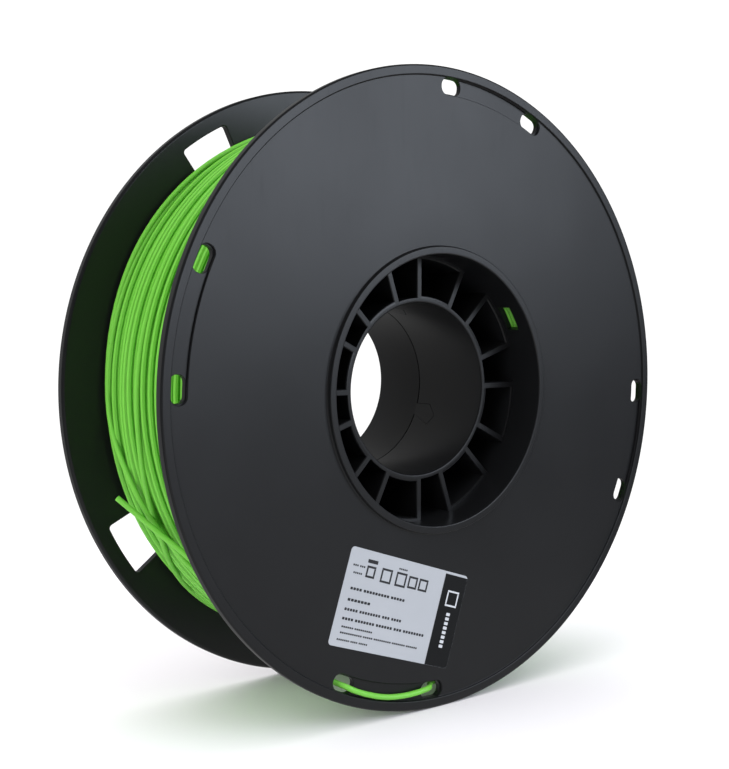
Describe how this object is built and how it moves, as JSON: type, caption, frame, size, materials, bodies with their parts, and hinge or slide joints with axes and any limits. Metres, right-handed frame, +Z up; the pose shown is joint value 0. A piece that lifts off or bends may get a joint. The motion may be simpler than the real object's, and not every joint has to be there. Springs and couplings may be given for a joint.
{
  "type": "filament spool",
  "caption": "Two-part moulded spool full of round plastic filament, with slotted flanges, a ribbed hub with an open arbor bore, a loose filament end and a side label.",
  "frame": {"origin": "middle of the spool: on the axis of the arbor bore, halfway between the two flanges", "axes": "+Y along the bore axis towards the rear flange, the one with the windows; the flange with the filament slots and the label faces -Y; +Z up as the spool stands on its rims"},
  "size_m": [0.1998, 0.064, 0.1998],
  "materials": {
    "black_plastic": "satin moulded black",
    "green_filament": "smooth extruded green",
    "label_film": "printed self-adhesive label"
  },
  "bodies": {
    "root": {"front_half": "black_plastic", "rear_half": "black_plastic", "filament_winding": "green_filament", "filament_tail": "green_filament", "label": "label_film"}
  },
  "joints": []
}
